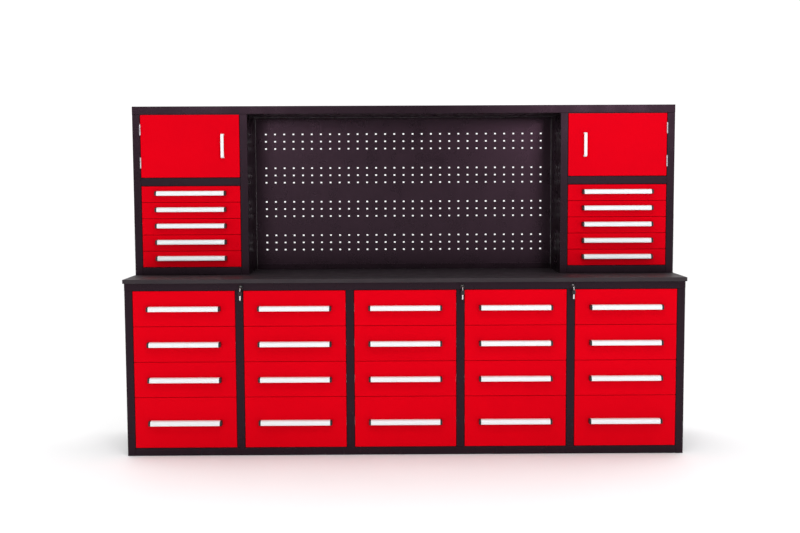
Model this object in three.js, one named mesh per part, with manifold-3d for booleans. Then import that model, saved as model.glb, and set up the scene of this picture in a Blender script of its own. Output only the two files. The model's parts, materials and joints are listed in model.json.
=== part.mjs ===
// Workbench with drawers: a steel base cabinet of five columns of four drawers under a lipped worktop,
// and on its rear half a hutch of two towers (a cupboard over five shallow drawers each), joined by a
// top beam and a perforated tool board. Three cam locks with keys sit in the base's top rail.
// Millimetres. +X is the user's right, +Y the back, +Z up. Each piece is drawn about its own origin and
// placed by its position. The whole stands on Z = 0 with its bounding box centred on the origin.

import * as THREE from 'three';
import { mergeVertices } from 'three/addons/utils/BufferGeometryUtils.js';
import Module from 'manifold-3d';

const wasm = await Module();
wasm.setup();

// ---------------------------------------------------------------- driving dimensions

const SHEET = 1.5; // folded steel sheet
const GAP = 1.8; // reveal round every drawer front and door
const FIT = 0.3; // clearance between pieces that rest on each other
const MERGE = 0.5; // how far joined shapes run into each other
const PAST = 1; // how far a cutting shape runs past the faces it opens
const RETURN = 20; // width of a folded return flange

const WORKTOP = { length: 2850, depth: 650, thickness: 20.5, overhang: 15, skin: 1.5 };

const BODY_WIDTH = 2838;
const BASE_DEPTH = 620;
const COLUMNS = 5;
const STILE = 40;
const OPENING = (BODY_WIDTH - (COLUMNS + 1) * STILE) / COLUMNS;
const BOTTOM_RAIL = 40;
const TOP_RAIL = 38;
const SHALLOW_FRONT = 179.5;
const DEEP_FRONT = 259;
const BASE_FRONTS = [DEEP_FRONT, SHALLOW_FRONT, SHALLOW_FRONT, SHALLOW_FRONT]; // from the floor up

const HUTCH_SETBACK = 264; // hutch face behind the base face
const HUTCH_DEPTH = WORKTOP.depth - WORKTOP.overhang - HUTCH_SETBACK;
const HUTCH_BOTTOM_RAIL = 40;
const HUTCH_FRONT = 83.5;
const HUTCH_DRAWERS = 5;
const HUTCH_MID_RAIL = 42;
const DOOR_HEIGHT = 326;
const BEAM_HEIGHT = 42;
const TOWER_WIDTH = OPENING + 2 * STILE;

const FRONT_DEPTH = 16; // depth of a folded drawer front or door
const SLIDE_SPACE = 12.7; // one slide, from the carcass to the tray
const RAIL_PLAY = 2.2; // clearance between a slide's fixed half and the tray
const RUNNER_PLAY = 0.7; // clearance between the two halves of a slide
const TRAY_SHEET = 1.2;
const TRAY_RISE = 10; // tray floor above the lower edge of its front
const BASE_TRAY = { depth: 556, slideHeight: 45, slideLength: 500, handleRise: 0 };
const HUTCH_TRAY = { depth: 330, slideHeight: 35, slideLength: 300, handleRise: 5 };
const TRAY_HEADROOM = 20; // a tray is lower than its front by this
const SLIDE_START = 20; // slides begin this far behind the face

const HANDLE = { length: 358, cap: 7, height: 24, reach: 34, wall: 2.5, crown: 8, lip: 5, foot: 3 };
const BOW_HANDLE = { height: 126, width: 16, reach: 32, bar: 7, bend: 8, edgeDistance: 86 };

const HINGE = { height: 56, middle: 18, offset: 86, radius: 3.7, bore: 2.3, pin: 1.9, stand: 4.5, depth: 14 };
const LEAF_PLAY = 0.15; // clearance on each side of a hinge leaf
const LEAF_START = HINGE.bore + 0.4; // a knuckle's leaf begins this far behind its pin's axis

const LOCK = { bezelRadius: 12.5, bezel: 4, bodyRadius: 9.5, bore: 6.3, plugRadius: 6, length: 22 };
const NUT = { radius: 13.5, thickness: 4 };
const CAM = { width: 10, reach: 15, thickness: 2 };
const LOCK_HEIGHT = 863.5; // lock axis above the floor
const LOCK_OFFSET = 9.5; // lock axis right of its stile's middle
const LOCKED_STILES = [1, 3, 4]; // inner stiles that have a lock, counted from the left
const KEY = { bowWidth: 19, bowLength: 24, rim: 4.5, thickness: 2.2, shank: 6, blade: 8, bladeLength: 27 };
const KEY_ROOT = 2; // how far a shank runs into its oval bow
const RING = { radius: 11, wire: 0.8, keyHole: 6, spareHole: 4 };

const PEG = { columns: 31, pitch: 50.8, bands: 4, rows: 3, rowPitch: 40, bandPitch: 186.4 };
const PEG_HOLE = { width: 10, height: 8 };
const PEG_TOP_ROW = 1654; // height of the highest row above the floor
const PEG_PLANE = 360; // tool board behind the hutch face
const PEG_BANDS = { lower: 30, upper: 12, stand: 5 }; // plain bands along the tool board's edges

// ---------------------------------------------------------------- derived dimensions

const BASE_HEIGHT = BOTTOM_RAIL + TOP_RAIL + GAP * (BASE_FRONTS.length + 1)
  + BASE_FRONTS.reduce((sum, height) => sum + height, 0);
const RAIL_LEVEL = BASE_HEIGHT - TOP_RAIL;
const WORKTOP_LEVEL = BASE_HEIGHT + WORKTOP.thickness;
const FRONT_WIDTH = OPENING - 2 * GAP;
const TRAY_WIDTH = OPENING - 2 * SLIDE_SPACE;
const HUTCH_BAY_HEIGHT = HUTCH_DRAWERS * (HUTCH_FRONT + GAP) + GAP;
const MID_RAIL_LEVEL = HUTCH_BOTTOM_RAIL + HUTCH_BAY_HEIGHT;
const DOOR_LEVEL = MID_RAIL_LEVEL + HUTCH_MID_RAIL + GAP;
const TOWER_HEIGHT = DOOR_LEVEL + DOOR_HEIGHT + GAP;
const TOWER_CENTRE = (BODY_WIDTH - TOWER_WIDTH) / 2;
const HINGE_SPREAD = [-HINGE.offset, HINGE.offset];
const BOW_FRONT = -LOCK.bezel - KEY.shank - KEY.bowLength; // the foremost point of a key in its lock
const RING_CENTRE = [0, BOW_FRONT + 1, -RING.radius];
const RING_BOTTOM = [0, BOW_FRONT + 1, -2 * RING.radius];

// ---------------------------------------------------------------- finishes

const RED = { color: 0xd9000f, roughness: 0.32, metalness: 0 };
const BLACK = { color: 0x18151a, roughness: 0.45, metalness: 0 };
const ZINC = { color: 0xb9bcc0, roughness: 0.35, metalness: 0.9 };
const NICKEL = { color: 0xd6d8da, roughness: 0.15, metalness: 1 };
const BOARD = { color: 0x9a7b55, roughness: 0.8, metalness: 0 };

// ---------------------------------------------------------------- shape helpers

// A closed three.js geometry as a solid that can be joined and cut.
function solidOf(geometry) {
  geometry.deleteAttribute('normal');
  geometry.deleteAttribute('uv');
  const merged = mergeVertices(geometry);
  return new wasm.Manifold(new wasm.Mesh({
    numProp: 3,
    vertProperties: new Float32Array(merged.attributes.position.array),
    triVerts: new Uint32Array(merged.index.array),
  }));
}

function box([x0, x1], [y0, y1], [z0, z1]) {
  const geometry = new THREE.BoxGeometry(Math.abs(x1 - x0), Math.abs(y1 - y0), Math.abs(z1 - z0));
  geometry.translate((x0 + x1) / 2, (y0 + y1) / 2, (z0 + z1) / 2);
  return solidOf(geometry);
}

function shapeFrom(outline) {
  return new THREE.Shape(outline.map(([u, v]) => new THREE.Vector2(u, v)));
}

// A flat shape pushed along one axis. Its own coordinates are (y, z) for x, (x, z) for y, (x, y) for z.
function prism(shape, axis, from, to) {
  const options = { depth: to - from, bevelEnabled: false, curveSegments: 5 };
  const geometry = new THREE.ExtrudeGeometry(shape, options);
  if (axis === 'z') {
    geometry.translate(0, 0, from);
  } else if (axis === 'x') {
    geometry.translate(0, 0, from);
    geometry.rotateX(Math.PI / 2);
    geometry.rotateZ(Math.PI / 2);
  } else {
    geometry.rotateX(Math.PI / 2);
    geometry.translate(0, to, 0);
  }
  return solidOf(geometry);
}

// Points along an arc of an outline, with its angles in degrees.
function arc([u, v], radius, from, to, steps) {
  return Array.from({ length: steps + 1 }, (_, i) => {
    const angle = THREE.MathUtils.degToRad(from + (to - from) * i / steps);
    return [u + radius * Math.cos(angle), v + radius * Math.sin(angle)];
  });
}

// Outline of a sheet bent along a path, its thickness on the path's left.
function folded(path, thickness) {
  const normals = path.slice(1).map(([u, v], i) => {
    const run = Math.hypot(u - path[i][0], v - path[i][1]);
    return [(path[i][1] - v) / run, (u - path[i][0]) / run];
  });
  const offset = path.map(([u, v], i) => {
    const before = normals[Math.max(i - 1, 0)];
    const after = normals[Math.min(i, normals.length - 1)];
    const reach = thickness / (1 + before[0] * after[0] + before[1] * after[1]);
    return [u + (before[0] + after[0]) * reach, v + (before[1] + after[1]) * reach];
  });
  return [...path, ...offset.reverse()];
}

function rod(axis, radius, from, to, sides = 16) {
  const geometry = new THREE.CylinderGeometry(radius, radius, to - from, sides);
  geometry.translate(0, (from + to) / 2, 0);
  if (axis === 'z') geometry.rotateX(Math.PI / 2);
  return solidOf(geometry);
}

const join = (...solids) => solids.reduce((whole, next) => whole.add(next));
const cut = (solid, ...tools) => tools.reduce((rest, tool) => rest.subtract(tool), solid);

const bench = new THREE.Group();

// One named mesh, placed in a group.
function place(name, solid, finish, position = [0, 0, 0], group = bench) {
  const { vertProperties, triVerts } = solid.getMesh();
  const geometry = new THREE.BufferGeometry();
  geometry.setAttribute('position', new THREE.BufferAttribute(vertProperties, 3));
  geometry.setIndex(new THREE.BufferAttribute(triVerts, 1));
  geometry.computeVertexNormals();
  const mesh = new THREE.Mesh(geometry, new THREE.MeshStandardMaterial(finish));
  mesh.name = name;
  mesh.position.set(...position);
  group.add(mesh);
}

// ---------------------------------------------------------------- drawer slides

// C-channel along a slide's length: its web at x = web, its lips reaching to x = lips.
function slideChannel(web, lips, level, reach, length) {
  const path = [[lips, level - reach], [web, level - reach], [web, level + reach], [lips, level + reach]];
  const outline = folded(lips > web ? path.reverse() : path, SHEET);
  return prism(shapeFrom(outline), 'y', SLIDE_START, SLIDE_START + length);
}

// Fixed half of a slide, on a wall whose face is at x; side is where the tray lies.
function slideRail(x, side, level, { slideHeight, slideLength }) {
  const lips = x + side * (SLIDE_SPACE - RAIL_PLAY);
  return slideChannel(x - side * MERGE, lips, level, slideHeight / 2, slideLength);
}

// Moving half of a slide, on the tray's side wall and inside the fixed half's lips.
function slideRunner(side, level, { slideHeight, slideLength }) {
  const lips = side * (TRAY_WIDTH / 2 + SLIDE_SPACE - SHEET - RUNNER_PLAY);
  const reach = slideHeight / 2 - SHEET - RUNNER_PLAY;
  return slideChannel(side * (TRAY_WIDTH / 2 - MERGE), lips, level, reach, slideLength);
}

const trayHeight = (frontHeight) => frontHeight - TRAY_HEADROOM;
const slideLevel = (frontHeight) => TRAY_RISE + trayHeight(frontHeight) / 2;

// Slide rails on one wall face, for a stack of fronts that starts at the height from.
function slideStack(x, side, from, fronts, tray) {
  let bottom = from + GAP;
  const rails = [];
  for (const height of fronts) {
    rails.push(slideRail(x, side, bottom + slideLevel(height), tray));
    bottom += height + GAP;
  }
  return rails;
}

// ---------------------------------------------------------------- drawers

// Hollow front, folded back on its four edges and open behind.
function foldedFront(width, height) {
  const half = width / 2;
  const shell = box([-half, half], [0, FRONT_DEPTH], [0, height]);
  const hollow = box(
    [-half + SHEET, half - SHEET], [SHEET, FRONT_DEPTH + SHEET], [SHEET, height - SHEET]);
  return cut(shell, hollow);
}

// Hooked bar handle with an end cap at each end: flange on the front, arch over the top, grip hanging
// in front, open below for the fingers.
function barHandle(level) {
  const { height, reach, length, cap, wall, lip, foot } = HANDLE;
  const top = level + height / 2;
  const bottom = level - height / 2;
  const shoulder = arc([HANDLE.crown - reach, top - HANDLE.crown], HANDLE.crown, 90, 180, 2);
  const crown = [[MERGE, top], ...shoulder, [-reach, bottom]];
  const section = folded([[MERGE, bottom + foot], ...crown, [lip - reach, bottom]], wall);
  const grip = prism(shapeFrom(section), 'x', -length / 2, length / 2);
  const capShape = shapeFrom([[MERGE, bottom], ...crown]);
  const caps = [-1, 1].map((side) => {
    const ends = [side * (length / 2 - MERGE), side * (length / 2 + cap)].sort((a, b) => a - b);
    return prism(capShape, 'x', ...ends);
  });
  return join(grip, ...caps);
}

// Open tray behind its front, with a pocket between the tray's own front wall and the folded front.
function tray(frontHeight, { depth }) {
  const half = TRAY_WIDTH / 2;
  const inner = half - TRAY_SHEET;
  const floor = TRAY_RISE + TRAY_SHEET;
  const rim = TRAY_RISE + trayHeight(frontHeight);
  const shell = box([-half, half], [MERGE, depth], [TRAY_RISE, rim]);
  const store = box([-inner, inner], [FRONT_DEPTH, depth - TRAY_SHEET], [floor, rim + PAST]);
  const pocket = box([-inner, inner], [SHEET, FRONT_DEPTH - TRAY_SHEET], [floor, rim + PAST]);
  return cut(shell, store, pocket);
}

function drawer(frontHeight, trayType) {
  const level = slideLevel(frontHeight);
  return join(
    foldedFront(FRONT_WIDTH, frontHeight),
    tray(frontHeight, trayType),
    slideRunner(-1, level, trayType),
    slideRunner(1, level, trayType),
    barHandle(frontHeight / 2 + trayType.handleRise),
  );
}

// ---------------------------------------------------------------- base cabinet

// Hollow upright folded from one sheet: stile in front, a skin down each side, open behind.
function upright(width, depth, low, high) {
  const half = width / 2;
  const path = [[-half, depth], [-half, 0], [half, 0], [half, depth]];
  return prism(shapeFrom(folded(path, SHEET)), 'z', low, high);
}

function baseUpright(slideSides) {
  const rails = slideSides.flatMap(
    (side) => slideStack(side * STILE / 2, side, BOTTOM_RAIL, BASE_FRONTS, BASE_TRAY));
  const depth = BASE_DEPTH - SHEET - FIT;
  const foot = box([MERGE - STILE / 2, STILE / 2 - MERGE], [MERGE, depth], [0, SHEET]);
  return join(upright(STILE, depth, 0, RAIL_LEVEL - FIT), foot, ...rails);
}

// An inner upright stands on the floor panel, so it is cut off at the rail's height.
function basePartition() {
  const foot = box([-STILE, STILE], [-PAST, BASE_DEPTH], [-PAST, BOTTOM_RAIL + FIT]);
  return cut(baseUpright([-1, 1]), foot);
}

// Floor panel with the bottom rail folded down in front and a matching fold behind.
function floorPanel(width, depth, height) {
  const path = [[RETURN, 0], [0, 0], [0, height], [depth, height], [depth, 0], [depth - RETURN, 0]];
  return prism(shapeFrom(folded(path.reverse(), SHEET)), 'x', -width / 2, width / 2);
}

// Top panel with a rail folded down on all sides and returned inwards in front and behind.
function lidPanel(width, depth, height) {
  const path = [[RETURN, 0], [0, 0], [0, height], [depth, height], [depth, 0], [depth - RETURN, 0]];
  const lid = prism(shapeFrom(folded(path.reverse(), SHEET)), 'x', -width / 2, width / 2);
  const ends = [-1, 1].map((side) => {
    const outer = side * width / 2;
    return box([outer - side * SHEET, outer], [MERGE, depth - MERGE], [0, height - MERGE]);
  });
  return join(lid, ...ends);
}

const stileCentre = (index) => -BODY_WIDTH / 2 + STILE / 2 + index * (OPENING + STILE);
const columnCentre = (index) => stileCentre(index) + (OPENING + STILE) / 2;

function buildBase() {
  place('base_left_side', baseUpright([1]), BLACK, [stileCentre(0), 0, 0]);
  place('base_right_side', baseUpright([-1]), BLACK, [stileCentre(COLUMNS), 0, 0]);
  for (let index = 1; index < COLUMNS; index += 1) {
    place(`base_partition_${index}`, basePartition(), BLACK, [stileCentre(index), 0, 0]);
  }
  const clearWidth = BODY_WIDTH - 2 * STILE - 2 * FIT;
  place('base_floor', floorPanel(clearWidth, BASE_DEPTH - SHEET - FIT, BOTTOM_RAIL), BLACK);
  const half = BODY_WIDTH / 2;
  const back = box([-half, half], [BASE_DEPTH - SHEET, BASE_DEPTH], [0, RAIL_LEVEL - FIT]);
  place('base_back_panel', back, BLACK);
  const lockHoles = LOCKED_STILES.map((index) => {
    const hole = rod('y', LOCK.bodyRadius + FIT, -PAST, SHEET + PAST, 20);
    return hole.translate([stileCentre(index) + LOCK_OFFSET, 0, LOCK_HEIGHT - RAIL_LEVEL]);
  });
  const top = cut(lidPanel(BODY_WIDTH, BASE_DEPTH, TOP_RAIL), ...lockHoles);
  place('base_top_panel', top, BLACK, [0, 0, RAIL_LEVEL]);
}

function buildBaseDrawers() {
  const solids = new Map();
  for (let column = 0; column < COLUMNS; column += 1) {
    let bottom = BOTTOM_RAIL + GAP;
    BASE_FRONTS.forEach((height, level) => {
      if (!solids.has(height)) solids.set(height, drawer(height, BASE_TRAY));
      const name = `base_drawer_${column + 1}_${BASE_FRONTS.length - level}`;
      place(name, solids.get(height), RED, [columnCentre(column), 0, bottom]);
      bottom += height + GAP;
    });
  }
}

// ---------------------------------------------------------------- worktop

function buildWorktop() {
  const { length, depth, thickness, overhang, skin } = WORKTOP;
  const inset = skin + FIT;
  const front = -overhang;
  const back = depth - overhang;
  const shell = box([-length / 2, length / 2], [front, back], [0, thickness]);
  const hollow = box(
    [skin - length / 2, length / 2 - skin], [front + skin, back - skin], [-PAST, thickness - skin]);
  place('worktop_cover', cut(shell, hollow), BLACK, [0, 0, BASE_HEIGHT]);
  const board = box(
    [inset - length / 2, length / 2 - inset], [front + inset, back - inset], [FIT, thickness - inset]);
  place('worktop_board', board, BOARD, [0, 0, BASE_HEIGHT]);
}

// ---------------------------------------------------------------- hutch

const towerFronts = Array(HUTCH_DRAWERS).fill(HUTCH_FRONT);

// One tower without its front pieces: two hollow uprights, floor, shelf behind the middle rail, back.
function tower() {
  const sideDepth = HUTCH_DEPTH - SHEET / 2;
  const between = OPENING + 2 * MERGE;
  const sides = [-1, 1].map(
    (side) => upright(STILE, sideDepth, 0, TOWER_HEIGHT).translate([side * (OPENING + STILE) / 2, 0, 0]));
  const floor = floorPanel(between, sideDepth, HUTCH_BOTTOM_RAIL);
  const shelf = floorPanel(between, sideDepth, HUTCH_MID_RAIL).translate([0, 0, MID_RAIL_LEVEL]);
  const half = TOWER_WIDTH / 2;
  const back = box([-half, half], [HUTCH_DEPTH - SHEET, HUTCH_DEPTH], [0, TOWER_HEIGHT]);
  const top = box([MERGE - half, half - MERGE], [MERGE, sideDepth], [TOWER_HEIGHT - SHEET, TOWER_HEIGHT]);
  const rails = [-1, 1].flatMap(
    (side) => slideStack(side * OPENING / 2, -side, HUTCH_BOTTOM_RAIL, towerFronts, HUTCH_TRAY));
  return join(...sides, floor, shelf, back, top, ...rails);
}

// Flat bow handle: two legs and a grip, drawn from the side and pushed across.
function bowHandle(x, level) {
  const { height, width, reach, bar, bend } = BOW_HANDLE;
  const half = height / 2;
  const path = [
    [MERGE, half], ...arc([bend - reach, half - bend], bend, 90, 180, 2),
    ...arc([bend - reach, bend - half], bend, 180, 270, 2), [MERGE, -half]];
  const outline = folded(path, bar).map(([y, z]) => [y, z + level]);
  return prism(shapeFrom(outline), 'x', x - width / 2, x + width / 2);
}

// Door with its half of the hinges: side is the hinged side, -1 left or 1 right.
function door(side) {
  const edge = side * FRONT_WIDTH / 2;
  const axis = edge + side * GAP / 2;
  const leaves = HINGE_SPREAD.map((offset) => {
    const level = DOOR_HEIGHT / 2 + offset;
    const reach = HINGE.middle / 2;
    const leaf = box(
      [edge - side * MERGE, axis - side * LEAF_PLAY], [LEAF_START - HINGE.stand, HINGE.depth],
      [level - reach, level + reach]);
    const sleeve = rod('z', HINGE.radius, -reach, reach, 12);
    const bore = rod('z', HINGE.bore, -reach - PAST, reach + PAST, 12);
    return join(leaf, cut(sleeve, bore).translate([axis, -HINGE.stand, level]));
  });
  const grip = bowHandle(BOW_HANDLE.edgeDistance * side - edge, DOOR_HEIGHT / 2);
  return join(foldedFront(FRONT_WIDTH, DOOR_HEIGHT), grip, ...leaves);
}

// Frame half of a hinge about its own axis: leaf in the reveal, two outer knuckles and the pin.
function frameHinge(side) {
  const half = HINGE.height / 2;
  const inner = HINGE.middle / 2 + FIT;
  const leafSpan = [side * LEAF_PLAY, side * (GAP / 2 - LEAF_PLAY)];
  const leaf = box(leafSpan, [HINGE.stand + FIT, HINGE.stand + HINGE.depth], [-half, half]);
  const knuckles = [-1, 1].flatMap((end) => [
    rod('z', HINGE.radius, Math.min(end * inner, end * half), Math.max(end * inner, end * half), 12),
    box(leafSpan, [LEAF_START, HINGE.stand + 2 * FIT], [end * inner, end * half]),
  ]);
  return join(leaf, rod('z', HINGE.pin, -half, half, 12), ...knuckles);
}

// Perforated sheet with plain bands along its lower and upper edges that stand a little forward.
function toolBoard(width, low, high) {
  const half = width / 2;
  const holeHalf = { x: PEG_HOLE.width / 2, z: PEG_HOLE.height / 2 };
  const holes = [];
  for (let band = 0; band < PEG.bands; band += 1) {
    for (let row = 0; row < PEG.rows; row += 1) {
      const z = PEG_TOP_ROW - band * PEG.bandPitch - row * PEG.rowPitch;
      for (let column = 0; column < PEG.columns; column += 1) {
        const x = (column - (PEG.columns - 1) / 2) * PEG.pitch;
        holes.push(box(
          [x - holeHalf.x, x + holeHalf.x], [-PAST, SHEET + PAST], [z - holeHalf.z, z + holeHalf.z]));
      }
    }
  }
  const sheet = wasm.Manifold.difference([box([-half, half], [0, SHEET], [low, high]), ...holes]);
  const bands = [[low, low + PEG_BANDS.lower], [high - PEG_BANDS.upper, high]].map(
    (span) => box([-half, half], [-PEG_BANDS.stand, MERGE], span));
  return join(sheet, ...bands);
}

function buildHutch() {
  const hutch = new THREE.Group();
  hutch.position.set(0, HUTCH_SETBACK, WORKTOP_LEVEL);
  bench.add(hutch);
  const towerSolid = tower();
  const drawerSolid = drawer(HUTCH_FRONT, HUTCH_TRAY);
  for (const side of [-1, 1]) {
    const label = side < 0 ? 'left' : 'right';
    const centre = side * TOWER_CENTRE;
    place(`${label}_tower`, towerSolid, BLACK, [centre, 0, FIT], hutch);
    for (let level = 0; level < HUTCH_DRAWERS; level += 1) {
      const bottom = HUTCH_BOTTOM_RAIL + GAP + level * (HUTCH_FRONT + GAP);
      place(`${label}_drawer_${HUTCH_DRAWERS - level}`, drawerSolid, RED, [centre, 0, bottom + FIT], hutch);
    }
    place(`${label}_door`, door(side), RED, [centre, 0, DOOR_LEVEL + FIT], hutch);
    const axis = centre + side * (FRONT_WIDTH + GAP) / 2;
    HINGE_SPREAD.forEach((offset, index) => {
      const level = DOOR_LEVEL + FIT + DOOR_HEIGHT / 2 + offset;
      const name = `${label}_door_${index ? 'upper' : 'lower'}_hinge`;
      place(name, frameHinge(side), ZINC, [axis, -HINGE.stand, level], hutch);
    });
  }
  const bay = BODY_WIDTH - 2 * TOWER_WIDTH - 2 * FIT;
  const soffit = box([-bay / 2, bay / 2], [RETURN - MERGE, HUTCH_DEPTH - RETURN + MERGE], [0, SHEET]);
  const beam = join(lidPanel(BODY_WIDTH, HUTCH_DEPTH, BEAM_HEIGHT), soffit);
  place('hutch_beam', beam, BLACK, [0, 0, TOWER_HEIGHT + 2 * FIT], hutch);
  const board = toolBoard(bay, WORKTOP_LEVEL + FIT, WORKTOP_LEVEL + TOWER_HEIGHT + FIT);
  place('tool_board', board, BLACK, [0, PEG_PLANE, -WORKTOP_LEVEL], hutch);
}

// ---------------------------------------------------------------- locks and keys

// Lock housing about its axis: bezel in front of the rail, threaded body through it, hexagonal nut behind.
function lockCylinder() {
  const bezel = rod('y', LOCK.bezelRadius, -LOCK.bezel, -FIT, 20);
  const body = rod('y', LOCK.bodyRadius, -LOCK.bezel + MERGE, LOCK.length, 20);
  const nut = rod('y', NUT.radius, SHEET + FIT, SHEET + FIT + NUT.thickness, 6);
  const bore = rod('y', LOCK.bore + FIT, -LOCK.bezel - PAST, LOCK.length + PAST, 12);
  return cut(join(bezel, body, nut), bore);
}

// Oval key bow in its own plane, with a round hole near its far end at (0, 0).
function bowShape(hole) {
  const { bowWidth, bowLength, rim } = KEY;
  const shape = new THREE.Shape();
  shape.absellipse(0, bowLength / 2 - rim, bowWidth / 2, bowLength / 2, 0, 2 * Math.PI);
  shape.holes.push(new THREE.Path().absellipse(0, 0, hole / 2, hole / 2, 0, 2 * Math.PI));
  return shape;
}

// Key in its plug, with the cam at the plug's far end and the wire ring through the bow.
function turningKey() {
  const camFront = LOCK.length + FIT;
  const camHalf = CAM.width / 2;
  const plug = rod('y', LOCK.plugRadius, -LOCK.bezel, camFront + CAM.thickness + MERGE, 12);
  const cam = box([-camHalf, camHalf], [camFront, camFront + CAM.thickness], [-camHalf, CAM.reach]);
  const half = KEY.thickness / 2;
  const shankSpan = [BOW_FRONT + KEY.bowLength - KEY_ROOT, MERGE - LOCK.bezel];
  const shank = box([-KEY.blade / 2, KEY.blade / 2], shankSpan, [-half, half]);
  const bow = prism(bowShape(RING.keyHole), 'z', -half, half).translate([0, BOW_FRONT + KEY.rim, 0]);
  const wire = new THREE.TorusGeometry(RING.radius, RING.wire, 5, 16);
  wire.rotateY(Math.PI / 2);
  return join(plug, cam, shank, bow, solidOf(wire).translate(RING_CENTRE));
}

// Spare key hanging from the ring, drawn about the ring's lowest point.
function spareKey() {
  const half = KEY.thickness / 2;
  const bow = prism(bowShape(RING.spareHole), 'y', -half, half).rotate([0, 180, 0]);
  const bladeTop = KEY.rim - KEY.bowLength + KEY_ROOT;
  const blade = box(
    [-KEY.blade / 2, KEY.blade / 2], [-half + FIT, half - FIT], [bladeTop - KEY.bladeLength, bladeTop]);
  return join(bow, blade);
}

function buildLocks() {
  LOCKED_STILES.forEach((stile, index) => {
    const lock = new THREE.Group();
    lock.position.set(stileCentre(stile) + LOCK_OFFSET, 0, LOCK_HEIGHT);
    bench.add(lock);
    place(`lock_cylinder_${index + 1}`, lockCylinder(), NICKEL, [0, 0, 0], lock);
    place(`lock_key_${index + 1}`, turningKey(), NICKEL, [0, 0, 0], lock);
    place(`spare_key_${index + 1}`, spareKey(), NICKEL, RING_BOTTOM, lock);
  });
}

// ---------------------------------------------------------------- assembly

buildBase();
buildBaseDrawers();
buildWorktop();
buildHutch();
buildLocks();

const middle = new THREE.Box3().setFromObject(bench).getCenter(new THREE.Vector3());
bench.position.set(-middle.x, -middle.y, 0);

export default bench;
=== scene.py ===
"""Looks of the workbench with drawers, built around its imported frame. Metres, +X right, +Y back, +Z up."""

import json
import math

import bmesh
import bpy
from mathutils import Matrix, Vector


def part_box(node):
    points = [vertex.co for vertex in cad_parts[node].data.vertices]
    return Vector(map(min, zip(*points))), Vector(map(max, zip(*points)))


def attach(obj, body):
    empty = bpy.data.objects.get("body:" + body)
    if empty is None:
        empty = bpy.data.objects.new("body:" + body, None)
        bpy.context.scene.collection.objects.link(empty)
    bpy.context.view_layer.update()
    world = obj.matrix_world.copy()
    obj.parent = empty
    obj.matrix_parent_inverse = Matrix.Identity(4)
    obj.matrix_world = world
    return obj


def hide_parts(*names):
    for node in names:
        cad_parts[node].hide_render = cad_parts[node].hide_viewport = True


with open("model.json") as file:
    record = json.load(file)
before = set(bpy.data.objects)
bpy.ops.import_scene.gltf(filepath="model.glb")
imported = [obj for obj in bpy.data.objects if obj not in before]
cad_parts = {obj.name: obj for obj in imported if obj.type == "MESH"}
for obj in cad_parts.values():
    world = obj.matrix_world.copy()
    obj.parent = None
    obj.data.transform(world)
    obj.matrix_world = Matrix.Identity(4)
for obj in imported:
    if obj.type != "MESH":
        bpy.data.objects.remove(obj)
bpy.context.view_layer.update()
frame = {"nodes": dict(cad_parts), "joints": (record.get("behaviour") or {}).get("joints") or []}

MM = 0.001

# ------------------------------------------------------------------ driving dimensions

SHEET = 1.5 * MM
EDGE_HIGHLIGHT_AND_WEAR_WIDTH = 1.2 * MM  # width of the paler band along an edge: a painted highlight, together with thin paint
BEND = 1.0 * MM  # inner radius of a bend in sheet metal
GAP = 1.8 * MM
FIT = 0.3 * MM
RETURN = 20 * MM  # width of a folded return flange
STILE = 40 * MM

FRONT_DEPTH = 16 * MM
FRONT_SHEET = 1.2 * MM
FRONT_EDGE = 2.2 * MM  # outer radius along the edges of a front or door
FLOOR_OF_TRAY = 10 * MM  # tray floor above the lower edge of its front
TRAY_HEADROOM = 20 * MM
TRAY_SHEET = 1.2 * MM
TRAY_HEM = 5 * MM
SLIDE_SPACE = 12.7 * MM
RAIL_LIP = 10.5 * MM  # reach of the fixed half of a slide from its wall
SLIDE_START = 20 * MM
BASE_TRAY = {"depth": 556 * MM, "slide_height": 45 * MM, "slide_length": 500 * MM, "handle_rise": 0}
HUTCH_TRAY = {"depth": 330 * MM, "slide_height": 35 * MM, "slide_length": 300 * MM, "handle_rise": 5 * MM}

HANDLE = {"length": 352 * MM, "cap": 10 * MM, "height": 24 * MM, "reach": 34 * MM, "wall": 2.5 * MM}
HANDLE_SHOULDER = 12 * MM
HANDLE_STEP = 0.7 * MM  # the lower part of a grip stands this far in front of its shoulder
HANDLE_SCREWS = 128 * MM  # distance between the two screws of a handle
BOW = {"height": 126 * MM, "width": 16 * MM, "reach": 32 * MM, "bar": 7 * MM, "edge": 86 * MM}

HINGE = {"radius": 3.7 * MM, "middle": 18 * MM, "pin": 1.9 * MM, "bore": 2.2 * MM}
LEAF = {"gap": 0.15 * MM, "sheet": 0.6 * MM, "depth": 14 * MM}
LOCK = {
    "bezel_radius": 12.5 * MM, "bezel": 4 * MM, "body_radius": 9.5 * MM,
    "plug": 6 * MM, "length": 22 * MM,
}
KEY = {
    "width": 19 * MM, "length": 24 * MM, "head": 4.5 * MM,
    "shank": 6 * MM, "blade": 7.5 * MM, "sheet": 2 * MM,
}
KEY_RIM = 4.5 * MM  # ring hole to the edge of the head
KEY_BLADE_LENGTH = 26 * MM
RING = {"radius": 11 * MM, "wire": 0.75 * MM}

LOCKS = (1, 2, 3)

WORKTOP_EDGE = 3 * MM
PANEL_CORNER = 2 * MM  # rounding of the corners of a back sheet
RIVETS = {"radius": 3.2 * MM, "height": 1.4 * MM}
PEG = {
    "columns": 31, "pitch": 50.8 * MM, "bands": 4,
    "rows": 3, "row_pitch": 40 * MM, "band_pitch": 186.4 * MM,
}
PEG_HOLE = {"width": 10 * MM, "height": 8 * MM, "corner": 1.5 * MM}
PEG_TOP_ROW = 1654 * MM
PEG_BANDS = {"lower": 30 * MM, "upper": 12 * MM}  # plain strips across the foot and the top of the board

CAMERA = {
    "lens": 51.176, "place": (-0.0554, -6.0172, 1.4001), "yaw": 0.00524,
    "pitch": 0.08213, "roll": 0.00435,
}
CAMERA_SHIFT = 0.0088
FLOOR_HALF = 40

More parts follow.
